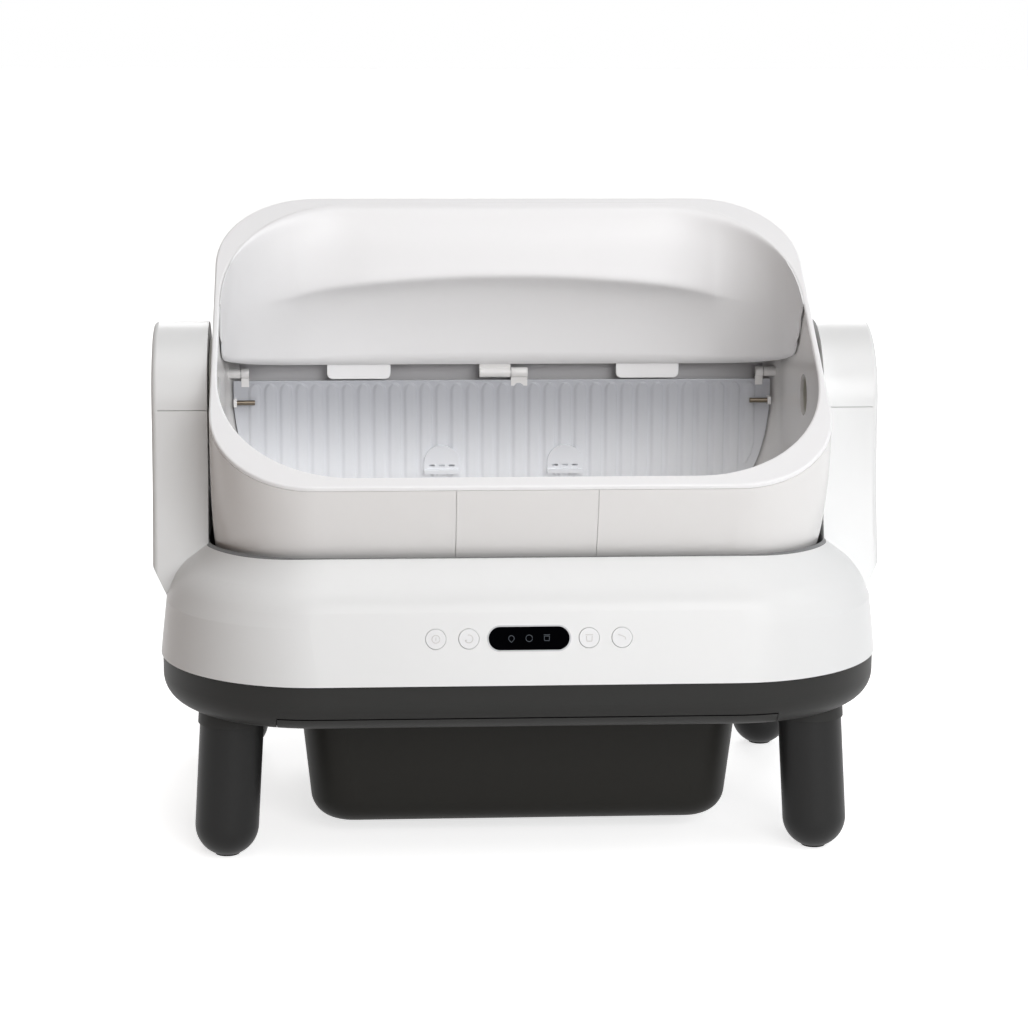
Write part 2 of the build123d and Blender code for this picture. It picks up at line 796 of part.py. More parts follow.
def foot_taper(lift):
    """Everything under the slanted underside of the tower, raised by a wall or not."""
    foot = axis_height - tower_drop + lift
    low_x = waist_half_width
    high_x = cover_end + overrun
    slope = foot_taper_rise / (cover_end - low_x)
    outline = Polyline(
        (low_x - overrun, foot - overrun * slope),
        (high_x, foot + (high_x - low_x) * slope),
        (high_x, 0),
        (low_x - overrun, 0),
        close=True,
    )
    return slab_y(make_face(outline), -span, span)


def tower_housing():
    """Lower half of a tower, open outwards, standing on the casing."""
    shell = slab_x(skirt(0), tower_face, tower_end)
    shell -= slab_x(skirt(tower_wall), drive_face, tower_end + overrun) - foot_taper(tower_wall)
    return ((shell + bush_housing - bush_hole) & lower_half) - casing_block - foot_taper(0)


def tower_cap():
    """Upper half of a tower, lifted off to take the drum out."""
    shell = slab_x(arch(0), tower_face, tower_end)
    shell -= slab_x(arch(tower_wall), drive_face, tower_end + overrun)
    return (shell + bush_housing - bush_hole) & upper_half


def side_cover():
    """Crowned cover over the tower's outer side, hollow behind."""
    plate = slab_x(skirt(0) + arch(0), tower_end, cover_end)
    plate = fillet(plate.faces().sort_by(Axis.X)[-1].edges(), cover_round)
    hollow = slab_x(skirt(tower_wall) + arch(tower_wall), tower_end - overrun, cover_end - tower_wall)
    return plate - (hollow - foot_taper(tower_wall)) - casing_block - foot_taper(0)


def bush():
    """Plain bearing bush held between a tower's housing and cap."""
    return ring_x(bush_radius, hub_radius + running_fit, tower_face, tower_face + bush_length)


for name, make in (
    ("tower_housing", tower_housing),
    ("tower_cap", tower_cap),
    ("side_cover", side_cover),
    ("bush", bush),
):
    parts["right_" + name] = make()
    parts["left_" + name] = mirrored(parts["right_" + name])
sensor_low = (-drive_face - sensor_depth, -sensor_size / 2, axis_height - sensor_radius - sensor_size / 2)
sensor_high = (-drive_face, sensor_size / 2, axis_height - sensor_radius + sensor_size / 2)

# Drive


def gear_outline(teeth, first_angle):
    """Involute gear outline with its first tooth centred on that angle."""
    pitch = gear_module * teeth / 2
    base = pitch * cos(radians(pressure_angle))
    root = pitch - gear_module * tooth_root_share
    tip = pitch + gear_module
    half_tooth = pi / (2 * teeth) - gear_backlash / (4 * pitch)
    involute_at_pitch = tan(radians(pressure_angle)) - radians(pressure_angle)
    flank = []
    for radius in (root, (max(base, root) + pitch) / 2, pitch, (pitch + tip) / 2, tip):
        roll = acos(min(base / radius, 1))
        flank.append((radius, half_tooth + involute_at_pitch - (tan(roll) - roll)))
    points = []
    for tooth in range(teeth):
        middle = first_angle + 2 * pi * tooth / teeth
        points += [(radius, middle - half) for radius, half in flank]
        points += [(radius, middle + half) for radius, half in reversed(flank)]
    corners = [(radius * cos(angle), radius * sin(angle)) for radius, angle in points]
    return make_face(Polyline(*corners, close=True))


def drum_gear():
    """Ring gear on the right-hand hub, a tooth pointing down at the pinion."""
    outline = gear_outline(drum_gear_teeth, -pi / 2) - Circle(hub_radius)
    return slab_x(Pos(0, axis_height) * outline, gear_start, gear_end)


def pinion():
    """Motor pinion, with a gap between teeth pointing up at the drum gear."""
    outline = gear_outline(pinion_teeth, pi / 2 + pi / pinion_teeth) - Circle(pinion_shaft_radius)
    return slab_x(Pos(0, pinion_height) * outline, gear_start, gear_end)


def gearbox():
    """Worm gearbox on the tower's inner wall."""
    low = (drive_face, -gearbox_half_width, pinion_height - gearbox_bottom)
    high = (drive_face + gearbox_depth, gearbox_half_width, pinion_height + gearbox_top)
    box = block(low, high)
    box = fillet(box.edges().filter_by(Axis.X), gearbox_round)
    bore_start = gear_start - pinion_shaft_depth
    return box - rod_x(pinion_shaft_radius + running_fit, bore_start, gear_start, 0, pinion_height)


def drive_motor():
    """Motor can that hangs from the gearbox into the casing."""
    top = pinion_height - gearbox_bottom
    can = slab_z(Circle(motor_radius), top - motor_length, top)
    can = chamfer(can.edges().group_by(Axis.Z)[0], motor_chamfer)
    return Pos(drive_face + seat_gap + motor_radius, 0, 0) * can


parts["home_sensor"] = block(sensor_low, sensor_high)
parts["drum_gear"] = drum_gear()
parts["pinion"] = pinion()
shaft_start = gear_start - pinion_shaft_depth + part_gap
parts["pinion_shaft"] = rod_x(pinion_shaft_radius, shaft_start, gear_end, 0, pinion_height)
parts["gearbox"] = gearbox()
parts["drive_motor"] = drive_motor()

# Waste bin on its rails

tub_front = bin_wall_front + bin_setback
tub_middle = (tub_front + bin_back) / 2
tub_half_length = (bin_back - tub_front) / 2


def bin_form(inset, floor_level):
    """Tapered tub with rounded corners, made smaller by an inset."""
    sections = []
    for level, draft in ((floor_level, bin_draft), (bin_top, 0)):
        half_width = bin_half_width - draft - inset
        half_length = tub_half_length - draft - inset
        outline = RectangleRounded(2 * half_width, 2 * half_length, bin_corner - inset)
        sections.append(Pos(0, tub_middle, level) * outline)
    tub = loft(sections)
    return fillet(tub.edges().group_by(Axis.Z)[0], bin_round - inset)


def waste_bin():
    """Tub with a flange that hangs in the rails and reaches forward to the lip."""
    low = (-bin_flange_half_width, bin_wall_front, bin_top - bin_flange)
    flange = block(low, (bin_flange_half_width, bin_back, bin_top))
    return bin_form(0, bin_floor) + flange - bin_form(bin_wall, bin_floor + bin_wall)


def bin_lip():
    """Front edge that the bin is pulled by, which completes the pan's rounded edge."""
    bar = block((-lip_half_width, -span, leg_height), (lip_half_width, bin_wall_front, bin_top))
    return bar & pan_form(0)


def bin_rail():
    """Angle rail under the pan that carries one flange of the bin."""
    foot_top = bin_top - bin_flange - rail_fit
    foot_bottom = foot_top - rail_wall
    start = bin_wall_front + bin_slide_gap
    web = block((rail_outer - rail_wall, start, foot_bottom), (rail_outer, bin_back, recess_top))
    foot_inner = bin_half_width + bin_slide_gap
    return web + block((foot_inner, start, foot_bottom), (rail_outer, bin_back, foot_top))


parts["waste_bin"] = waste_bin()
parts["bin_lip"] = bin_lip()
parts["right_bin_rail"] = bin_rail()
parts["left_bin_rail"] = mirrored(parts["right_bin_rail"])

# Controls and power inlet


def button(offset):
    """Round push button with a flange that keeps it behind the casing."""
    back = -casing_wall - part_gap
    cap = on_face(face_frame, Pos(offset, 0) * Circle(button_radius), back, button_proud)
    outwards = Axis(face_frame.origin, face_frame.z_dir)
    cap = fillet(cap.edges().sort_by(outwards)[-1], button_round)
    rim = Pos(offset, 0) * Circle(button_radius + button_flange_step)
    return cap + on_face(face_frame, rim, back - button_flange, back)


def control_board():
    """Circuit board on the casing's posts, with a switch behind each button."""
    sheet = Rectangle(2 * board_half_length, board_height)
    board = on_face(face_frame, sheet, -board_setback - board_sheet, -board_setback)
    switch_top = -casing_wall - 2 * part_gap - button_flange - button_travel
    for offset in button_offsets.values():
        switch = Pos(offset, 0) * Rectangle(switch_size, switch_size)
        board += on_face(face_frame, switch, -board_setback, switch_top)
    return board


def power_inlet():
    """Round socket in the back wall with a centre pin."""
    body = on_face(back_frame, Circle(inlet_radius), -inlet_depth, 0)
    body += on_face(back_frame, Circle(inlet_flange_radius), 0, inlet_flange)
    body -= on_face(back_frame, Circle(inlet_bore), -inlet_socket_depth, overrun)
    return body + on_face(back_frame, Circle(inlet_pin_radius), -inlet_socket_depth, 0)


for name, offset in button_offsets.items():
    parts[name] = button(offset)
window_outline = SlotOverall(display_length, display_height)
bezel_outline = SlotOverall(display_length + 2 * bezel_width, display_height + 2 * bezel_width)
parts["display_window"] = on_face(face_frame, window_outline, -display_skin, 0)
parts["display_bezel"] = on_face(face_frame, bezel_outline - window_outline, -display_skin, bezel_proud)
parts["control_board"] = control_board()
parts["power_inlet"] = power_inlet()

os.makedirs("parts", exist_ok=True)
for name, shape in parts.items():
    export_step(shape, os.path.join("parts", name + ".step"))
print(len(parts), "nodes, drum axis at", axis_height, "base", base_half_width, base_half_depth)
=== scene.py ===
from math import cos, pi, radians, sin
import bpy
import numpy as np
from mathutils import Matrix, Vector


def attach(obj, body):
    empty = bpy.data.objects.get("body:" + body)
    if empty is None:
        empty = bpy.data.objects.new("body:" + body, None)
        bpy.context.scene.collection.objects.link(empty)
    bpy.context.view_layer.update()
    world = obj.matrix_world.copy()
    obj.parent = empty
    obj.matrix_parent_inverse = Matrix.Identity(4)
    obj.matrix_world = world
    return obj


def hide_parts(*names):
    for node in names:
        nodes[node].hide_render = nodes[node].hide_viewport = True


# Self-cleaning litter box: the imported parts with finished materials, and finer pieces where they show.
# Frame: X to the right, Y to the back, Z up, origin on the floor under the drum's axis.
# Shapes are worked out in millimetres, the camera and the lamps are placed in metres.

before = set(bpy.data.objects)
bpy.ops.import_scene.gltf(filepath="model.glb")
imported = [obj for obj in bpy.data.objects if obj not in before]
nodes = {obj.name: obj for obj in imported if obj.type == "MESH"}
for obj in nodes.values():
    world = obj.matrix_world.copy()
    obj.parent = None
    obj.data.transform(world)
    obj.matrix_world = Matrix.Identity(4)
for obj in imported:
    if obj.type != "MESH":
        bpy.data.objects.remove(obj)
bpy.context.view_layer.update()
scene = bpy.context.scene
mm = 0.001
print("frame loaded:", len(nodes), "nodes")

# Moulded plastic: one shader group for all the finishes

mouldingScale = dict(drift=9, driftDetail=3, grainDetail=1, grainHeight=0.0002)


def addSockets(tree, side, sockets):
    # sockets of a shader group, each with its label, kind and starting value
    for label, kind, value in sockets:
        socket = tree.interface.new_socket(label, in_out=side, socket_type="NodeSocket" + kind)
        if value is not None:
            socket.default_value = value


def link(tree, source, target):
    # joins an output to an input
    tree.links.new(source, target)


def mouldingGroup(scale):
    # Tone and roughness drift over decimetres: both are multiplied by 1 + drift x (noise - 0.5).
    # A fine spark-eroded grain bends the normal.
    tree = bpy.data.node_groups.new("moulding", "ShaderNodeTree")
    addSockets(tree, "INPUT", [
        ("Colour", "Color", (0.8, 0.8, 0.8, 1)),
        ("Drift", "Float", 0.03),
        ("Roughness", "Float", 0.4),
        ("Grain Scale", "Float", 1800),
        ("Grain Depth", "Float", 0.02),
    ])
    addSockets(tree, "OUTPUT", [
        ("Colour", "Color", None),
        ("Roughness", "Float", None),
        ("Normal", "Vector", None),
    ])
    start = tree.nodes.new("NodeGroupInput")
    end = tree.nodes.new("NodeGroupOutput")
    spot = tree.nodes.new("ShaderNodeTexCoord")
    drift = tree.nodes.new("ShaderNodeTexNoise")
    drift.inputs["Scale"].default_value = scale["drift"]
    drift.inputs["Detail"].default_value = scale["driftDetail"]
    grain = tree.nodes.new("ShaderNodeTexNoise")
    grain.inputs["Detail"].default_value = scale["grainDetail"]
    link(tree, spot.outputs["Object"], drift.inputs["Vector"])
    link(tree, spot.outputs["Object"], grain.inputs["Vector"])
    link(tree, start.outputs["Grain Scale"], grain.inputs["Scale"])
    centred = tree.nodes.new("ShaderNodeMath")
    centred.operation = "SUBTRACT"
    centred.inputs[1].default_value = 0.5
    link(tree, drift.outputs["Fac"], centred.inputs[0])
    swing = tree.nodes.new("ShaderNodeMath")
    swing.operation = "MULTIPLY_ADD"
    swing.inputs[2].default_value = 1
    link(tree, centred.outputs[0], swing.inputs[0])
    link(tree, start.outputs["Drift"], swing.inputs[1])
    tint = tree.nodes.new("ShaderNodeVectorMath")
    tint.operation = "SCALE"
    link(tree, start.outputs["Colour"], tint.inputs[0])
    link(tree, swing.outputs[0], tint.inputs["Scale"])
    link(tree, tint.outputs[0], end.inputs["Colour"])
    rough = tree.nodes.new("ShaderNodeMath")
    rough.operation = "MULTIPLY"
    link(tree, start.outputs["Roughness"], rough.inputs[0])
    link(tree, swing.outputs[0], rough.inputs[1])
    link(tree, rough.outputs[0], end.inputs["Roughness"])
    bump = tree.nodes.new("ShaderNodeBump")
    bump.inputs["Distance"].default_value = scale["grainHeight"]
    link(tree, start.outputs["Grain Depth"], bump.inputs["Strength"])
    link(tree, grain.outputs["Fac"], bump.inputs["Height"])
    link(tree, bump.outputs["Normal"], end.inputs["Normal"])
    return tree


moulding = mouldingGroup(mouldingScale)


def rgb(red, green, blue):
    # sRGB in 0-255 to linear: a straight line near black and a power curve above it
    part = np.array([red, green, blue]) / 255
    linear = np.where(part <= 0.04045, part / 12.92, ((part + 0.055) / 1.055) ** 2.4)
    return (*linear.tolist(), 1)


def fadeColour(tree, fade):
    # one colour turns into another along an axis of the object, over a reach in metres
    spot = tree.nodes.new("ShaderNodeTexCoord")
    axes = tree.nodes.new("ShaderNodeSeparateXYZ")
    link(tree, spot.outputs["Object"], axes.inputs[0])
    share = tree.nodes.new("ShaderNodeMapRange")
    share.interpolation_type = "SMOOTHSTEP"
    share.inputs["From Min"].default_value, share.inputs["From Max"].default_value = fade["reach"]
    link(tree, axes.outputs[fade["axis"]], share.inputs["Value"])
    tone = tree.nodes.new("ShaderNodeMix")
    tone.data_type = "RGBA"
    tone.inputs["A"].default_value = rgb(*fade["first"])
    tone.inputs["B"].default_value = rgb(*fade["last"])
    link(tree, share.outputs["Result"], tone.inputs["Factor"])
    return tone.outputs["Result"]


def moulded(name, look):
    # a plastic or metal finish from one row of looks, where a fade takes the place of the plain colour
    material = bpy.data.materials.new(name)
    material.use_nodes = True
    tree = material.node_tree
    shader = tree.nodes["Principled BSDF"]
    group = tree.nodes.new("ShaderNodeGroup")
    group.node_tree = moulding
    group.inputs["Colour"].default_value = rgb(*look["colour"])
    group.inputs["Drift"].default_value = look["drift"]
    group.inputs["Roughness"].default_value = look["roughness"]
    group.inputs["Grain Scale"].default_value = look["grain"]
    group.inputs["Grain Depth"].default_value = look["depth"]
    if "fade" in look:
        link(tree, fadeColour(tree, look["fade"]), group.inputs["Colour"])
    link(tree, group.outputs["Colour"], shader.inputs["Base Color"])
    link(tree, group.outputs["Roughness"], shader.inputs["Roughness"])
    link(tree, group.outputs["Normal"], shader.inputs["Normal"])
    shader.inputs["Metallic"].default_value = look.get("metal", 0)
    shader.inputs["Specular IOR Level"].default_value = look.get("specular", 0.5)
    shader.inputs["Coat Weight"].default_value = look.get("coat", 0)
    shader.inputs["Coat Roughness"].default_value = look.get("coatRoughness", 0.1)
    material.diffuse_color = rgb(*look["colour"])  # what the viewport shows
    return material


# painted shade: the flap is darker towards its top, where the hood shades it
flapPaintedShade = dict(axis="Z", reach=(0.345, 0.25), first=(186, 188, 194), last=(246, 248, 252))
looks = {
    "white_casing": dict(colour=(232, 233, 233), drift=0.03, roughness=0.34, grain=2200, depth=0.03),
    "drum_white": dict(colour=(237, 236, 235), drift=0.03, roughness=0.26, grain=2200, depth=0.03),
    # painted light: a lighter copy of the drum's white, so the hood, its tabs and the rim's lip render
    # brighter
    "hood_white": dict(colour=(249, 249, 250), drift=0.02, roughness=0.4, grain=2200, depth=0.02),
    # painted shade: a darker copy of the drum's white for the apron, in the shade under the hood's lower
    # edge
    "apron_white": dict(colour=(206, 205, 207), drift=0.03, roughness=0.4, grain=2200, depth=0.03),
    "flap_white": dict(colour=(232, 235, 240), drift=0.03, roughness=0.16, grain=2200, depth=0.03,
                       fade=flapPaintedShade),
    "button_white": dict(colour=(230, 231, 232), drift=0.02, roughness=0.3, grain=2600, depth=0.03),
    "inner_grey": dict(colour=(120, 121, 122), drift=0.05, roughness=0.5, grain=1800, depth=0.05),
    "pan_grey": dict(colour=(46, 46, 45), drift=0.05, roughness=0.5, grain=1600, depth=0.08,
                     specular=0.18),
    "bin_grey": dict(colour=(31, 30, 27), drift=0.05, roughness=0.5, grain=1600, depth=0.08,
                     specular=0.18),
    "leg_grey": dict(colour=(34, 34, 34), drift=0.05, roughness=0.44, grain=1600, depth=0.08,
                     specular=0.22),
    "foot_rubber": dict(colour=(28, 28, 28), drift=0.08, roughness=0.75, grain=1200, depth=0.15),
    "display_black": dict(colour=(4, 4, 6), drift=0.05, roughness=0.2, grain=2600, depth=0.0, specular=0),
    "bezel_grey": dict(colour=(196, 198, 200), drift=0.03, roughness=0.3, grain=2200, depth=0.03),
    "board_green": dict(colour=(24, 82, 46), drift=0.1, roughness=0.45, grain=900, depth=0.05, coat=0.3),
    "gear_plastic": dict(colour=(205, 203, 194), drift=0.04, roughness=0.45, grain=1800, depth=0.05),
    "gearbox_black": dict(colour=(30, 30, 31), drift=0.06, roughness=0.45, grain=1600, depth=0.08),
    "mark_grey": dict(colour=(205, 203, 201), drift=0.02, roughness=0.4, grain=2200, depth=0.0),
    "mark_blue": dict(colour=(30, 39, 50), drift=0.02, roughness=0.3, grain=2200, depth=0.0),
    "steel": dict(colour=(176, 178, 180), drift=0.06, roughness=0.3, grain=3000, depth=0.05, metal=1),
    "pin_bronze": dict(colour=(126, 116, 102), drift=0.08, roughness=0.34, grain=3000, depth=0.05, metal=1),
}
materials = {slot: moulded(slot + "Finish", look) for slot, look in looks.items()}
for node in nodes.values():
    for holder in node.material_slots:
        holder.material = materials[holder.material.name.split(".")[0]]
for holder in nodes["drum_rim"].material_slots:
    holder.material = materials["hood_white"]  # the rim runs on into the hood; its lip takes the hood's lighter white, painted light
print("materials set:", len(materials))

# Surfaces from grids of points


def place(name, mesh, finish, body, replaced=()):
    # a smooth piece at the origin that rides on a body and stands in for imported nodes
    mesh.materials.append(finish)
    mesh.polygons.foreach_set("use_smooth", np.ones(len(mesh.polygons), bool))
    piece = bpy.data.objects.new(name, mesh)
    scene.collection.objects.link(piece)
    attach(piece, body)
    if replaced:
        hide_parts(*replaced)
    return piece


def gridFaces(index, wrapRows=False, wrapColumns=False):
    # quads between neighbouring rows and columns of a table of vertex numbers
    if wrapRows:
        index = np.concatenate([index, index[:1]])
    if wrapColumns:
        index = np.concatenate([index, index[:, :1]], axis=1)
    corners = [index[:-1, :-1], index[1:, :-1], index[1:, 1:], index[:-1, 1:]]
    return np.stack(corners, axis=-1).reshape(-1, 4)


def gridMesh(name, sheets):
    # one mesh from several grids, each given as its points, wrapRows and wrapColumns
    points, faces, count = [], [], 0
    for grid, wrapRows, wrapColumns in sheets:
        rows, columns = grid.shape[:2]
        index = count + np.arange(rows * columns).reshape(rows, columns)
        points.append(grid.reshape(-1, 3))
        faces.append(gridFaces(index, wrapRows, wrapColumns))
        count += rows * columns
    mesh = bpy.data.meshes.new(name)
    mesh.from_pydata((np.concatenate(points) * mm).tolist(), [], np.concatenate(faces).tolist())
    return mesh


def thicken(piece, wall):
    # a wall behind the skin's faces
    skin = piece.modifiers.new("wall", "SOLIDIFY")
    skin.thickness = wall * mm
    skin.offset = -1


def soften(piece, width, segments=3):
    # rounds the sharp edges
    edge = piece.modifiers.new("edge", "BEVEL")
    edge.width = width * mm
    edge.segments = segments
    edge.limit_method = "ANGLE"
    edge.harden_normals = True


def splineBasis(count, samples):
    # Weights of a clamped uniform cubic B-spline with that many control points, a row for each sample.
    # Cox-de Boor: each degree blends two neighbours of the degree below by the share of their knot spans.
    knots = np.concatenate([np.zeros(3), np.linspace(0, 1, count - 2), np.ones(3)])
    t = np.clip(samples, 0, 1 - 1e-9)[:, None]  # the last sample stays inside the last span
    basis = ((t >= knots[:-1]) & (t < knots[1:])).astype(float)
    for degree in (1, 2, 3):
        left = knots[degree:-1] - knots[:-degree - 1]
        right = knots[degree + 1:] - knots[1:-degree]
        rise = np.divide(t - knots[:-degree - 1], left, out=np.zeros((len(t), len(left))), where=left > 0)
        fall = np.divide(knots[degree + 1:] - t, right, out=np.zeros((len(t), len(right))), where=right > 0)
        basis = rise * basis[:, :-1] + fall * basis[:, 1:]
    return basis


def resample(path, count):
    # that many points at equal steps along a path
    steps = np.concatenate([[0], np.cumsum(np.linalg.norm(np.diff(path, axis=0), axis=1))])
    wanted = np.linspace(0, steps[-1], count)
    return np.stack([np.interp(wanted, steps, path[:, axis]) for axis in range(path.shape[1])], axis=1)


def smoothStep(low, high, value):
    # 0 up to low, 1 from high, and between them 3 x share squared - 2 x share cubed
    share = np.clip((value - low) / (high - low), 0, 1)
    return share * share * (3 - 2 * share)


# Drum: a barrel with rounded ends, and a mouth on a tilted plane

drum = dict(axis=353, corner=85, cornerX=168, cornerRadius=118, tilt=radians(31), level=69)


def reachX(distance, inset):
    # half length of the inset drum form at a distance from its axis
    beyond = np.maximum(distance - drum["cornerRadius"], 0)
    return drum["cornerX"] + np.sqrt(np.maximum((drum["corner"] - inset) ** 2 - beyond ** 2, 0))


def reachRadius(x, inset):
    # radius of the inset drum form at a place along its axis
    beyond = np.maximum(np.abs(x) - drum["cornerX"], 0)
    return drum["cornerRadius"] + np.sqrt(np.maximum((drum["corner"] - inset) ** 2 - beyond ** 2, 0))


def fromMouth(x, setback, level):
    # the mouth's tilted frame to the upright one
    turn = drum["tilt"]
    y = setback * cos(turn) - level * sin(turn)
    z = drum["axis"] + setback * sin(turn) + level * cos(turn)
    return np.stack(np.broadcast_arrays(x, y, z), axis=-1)


# Hood behind the mouth

hoodShape = dict(
    columns=240, rows=90, inset=4, wall=1,
    rimHalf=248, rimRadius=191, rimCorner=112, rimSteps=60,  # upper edge
    lap=2.5, lift=0.12, roll=5, turnPower=0.7,  # how it leaves the rim
    footHalf=248.8, footBack=140.75, footCorner=62, footHeight=360, footSteps=40,  # lower edge
    cheekFront=22, cheekRise=26, cheekCorner=30,  # the lower edge's ends
    browStart=110, browEnd=225, browSag=0.1, browReach=185,  # where the brow dies out and sags
    shares=(0.07, 0.16, 0.27, 0.35, 0.4, 0.425, 0.44, 0.47, 0.515, 0.57, 0.65, 0.8),  # of the way down
    browBulge=(9, 16, 21, 24.5, 27, 27, 20, 10.5, 4, 0, -2.5, -2.5),  # in the middle, at each share
    endBulge=(8, 13, 16, 17, 16.5, 16, 15.5, 14.5, 13, 11, 8, 3),  # past the brow's ends
)


def hoodRimPath(shape):
    # inner edge of the lip behind the drum's axis, in the mouth's frame: corner, straight, corner
    angle = np.linspace(0, pi / 2, shape["rimSteps"])
    x = shape["rimHalf"] - shape["rimCorner"] * (1 - np.cos(angle))
    radius = shape["rimRadius"] - shape["rimCorner"] * (1 - np.sin(angle))
    side = np.stack([x, np.sqrt(radius ** 2 - drum["level"] ** 2)], axis=1)
    return resample(np.concatenate([side * (-1, 1), side[::-1]]), shape["columns"])


def hoodFootPath(shape):
    # lower edge seen from above, its cheeks rising towards a rounded corner at the front
    angle = np.linspace(0, pi / 2, shape["footSteps"])
    half, back, corner = shape["footHalf"], shape["footBack"], shape["footCorner"]
    x = half - corner * (1 - np.cos(angle))
    y = back - corner * (1 - np.sin(angle))
    side = np.stack([np.append(half, x), np.append(shape["cheekFront"], y)], axis=1)
    path = resample(np.concatenate([side * (-1, 1), side[::-1]]), shape["columns"])
    rise = shape["cheekRise"] * (back - path[:, 1]) / (back - shape["cheekFront"])
    nearFront = np.clip(1 - (path[:, 1] - shape["cheekFront"]) / shape["cheekCorner"], 0, 1)
    rise += shape["cheekCorner"] * (1 - np.sqrt(1 - nearFront ** 2))
    return np.column_stack([path, shape["footHeight"] + rise])


def hoodSurface(shape):
    # Columns from the lip over a roll and an overhanging brow down to the foot, as cubic B-splines.
    # Control row = lip + share x (foot - lip) + bulge x the foot's forward direction.
    lip = hoodRimPath(shape)
    along = np.gradient(lip, axis=0)
    along /= np.linalg.norm(along, axis=1, keepdims=True)
    inward = np.stack([along[:, 1], -along[:, 0]], axis=1)
    foot = hoodFootPath(shape)
    run = np.gradient(foot[:, :2], axis=0)
    run /= np.linalg.norm(run, axis=1, keepdims=True)
    forward = np.column_stack([run[:, 1], -run[:, 0], np.zeros(len(run))])
    lift = drum["level"] + shape["lift"]
    turned = (1 - np.abs(forward[:, :1])) ** shape["turnPower"]  # 1 at the back, 0 at the cheeks
    steps = (-shape["lap"], 0, shape["roll"])
    rows = [fromMouth(*(lip + inward * turned * step).T, lift) for step in steps]
    top = fromMouth(*lip.T, lift)
    across = np.abs(top[:, 0])
    brow = 1 - smoothStep(shape["browStart"], shape["browEnd"], across)
    sag = shape["browSag"] * np.minimum((across / shape["browReach"]) ** 2, 1)
    for share, centre, end in zip(shape["shares"], shape["browBulge"], shape["endBulge"]):
        down = share + sag * 4 * share * (1 - share)  # most halfway down, nothing at the edges
        bulge = (end + (centre - end) * brow) * turned[:, 0]
        rows.append(top + (foot - top) * down[:, None] + forward * bulge[:, None])
    control = np.stack(rows + [foot])
    basis = splineBasis(len(control), np.linspace(0, 1, shape["rows"]))
    grid = np.einsum("vk,kuc->vuc", basis, control)
    distance = np.hypot(grid[..., 1], grid[..., 2] - drum["axis"])
    limit = reachX(distance, shape["inset"])
    grid[..., 0] = np.clip(grid[..., 0], -limit, limit)
    return grid


def addHood(shape):
    mesh = gridMesh("hoodSkin", [(hoodSurface(shape), False, False)])
    mesh.flip_normals()
    piece = place("hoodSkin", mesh, materials["hood_white"], "drum", ["hood"])
    thicken(piece, shape["wall"])


apronShape = dict(
    half=238, columns=60, rows=24, wall=1.2,
    section=((142.2, 361), (150, 361), (158, 360.5), (161, 358), (161, 350), (161, 330)),  # Y and Z
)


def addApron(shape):
    # strip that turns back under the hood's lower edge and down behind the flap's hinge: a section along X
    section = np.array(shape["section"], float)
    profile = splineBasis(len(section), np.linspace(0, 1, shape["rows"])) @ section
    grid = np.empty((shape["rows"], shape["columns"], 3))
    grid[..., 0] = np.linspace(-shape["half"], shape["half"], shape["columns"])
    grid[..., 1:] = profile[:, None]
    mesh = gridMesh("hoodApron", [(grid, False, False)])
    mesh.flip_normals()
    # the apron's darker white is painted shade
    piece = place("hoodApron", mesh, materials["apron_white"], "drum")
    thicken(piece, shape["wall"])


addHood(hoodShape)
addApron(apronShape)
print("hood made")

# Ribbed flap under the hood

flapShape = dict(
    front=142, back=145, top=345, inset=4.2, halfWidth=243,
    columnsPerRib=16, topRows=22, topDepth=11, lowRows=46,
    ribPitch=14, ribHalf=5.2, ribCount=16, ribHeight=2.2, ribTop=342.3, ribFoot=18, tip=7, ribPower=4,
    thinnest=0.001,
    hinge=352, knuckle=4.5, knuckles=((-236.1, -229.1), (6.75, 21.75), (229.1, 236.1)),
    armFoot=339.5, armProud=0.4, soften=0.5,
    stubs=((-243, -240), (240, 243)), stubFront=133.7, stubHeight=326, stubHalf=3.6,
)
rod = dict(around=48, edgeShare=0.08, bendShare=1 / 3, pole=0.001)


def flapSurface(shape):
    # Front of the sheet with ribs of height x root of (1 - aside / half width to a power), then its back.
    # A rib's half width shrinks to nothing over a rounded tip at either end.
    reach = shape["halfWidth"]
    step = shape["ribPitch"] / shape["columnsPerRib"]
    x = np.append(np.arange(-reach, reach, step), reach)
    floorHeight = drum["axis"] - np.sqrt(reachRadius(x, shape["inset"]) ** 2 - shape["back"] ** 2)
    upper = np.linspace(0, shape["topDepth"], shape["topRows"])
    share = np.linspace(0, 1, shape["lowRows"])[1:]
    lower = shape["topDepth"] + share[:, None] * (shape["top"] - floorHeight - shape["topDepth"])
    down = np.concatenate([np.repeat(upper[:, None], len(x), axis=1), lower])
    z = shape["top"] - down
    order = np.clip(np.round(x / shape["ribPitch"]), -shape["ribCount"], shape["ribCount"])
    aside = np.abs(x - order * shape["ribPitch"])
    fromTop = np.clip((shape["ribTop"] - z) / shape["tip"], 0, 1)
    fromFoot = np.clip((z - floorHeight - shape["ribFoot"]) / shape["tip"], 0, 1)
    half = shape["ribHalf"] * np.sqrt(1 - (1 - fromTop) ** 2) * np.sqrt(1 - (1 - fromFoot) ** 2)
    relative = np.clip(aside / np.maximum(half, shape["thinnest"]), 0, 1)
    relief = shape["ribHeight"] * np.sqrt(1 - relative ** shape["ribPower"])
    front = np.stack([np.broadcast_to(x, z.shape), shape["front"] - relief, z], axis=-1)
    back = front.copy()
    back[..., 1] = shape["back"]
    back[:, (0, -1), 1] = front[:, (0, -1), 1]  # front and back meet at the sides
    return np.concatenate([front, back[::-1]])


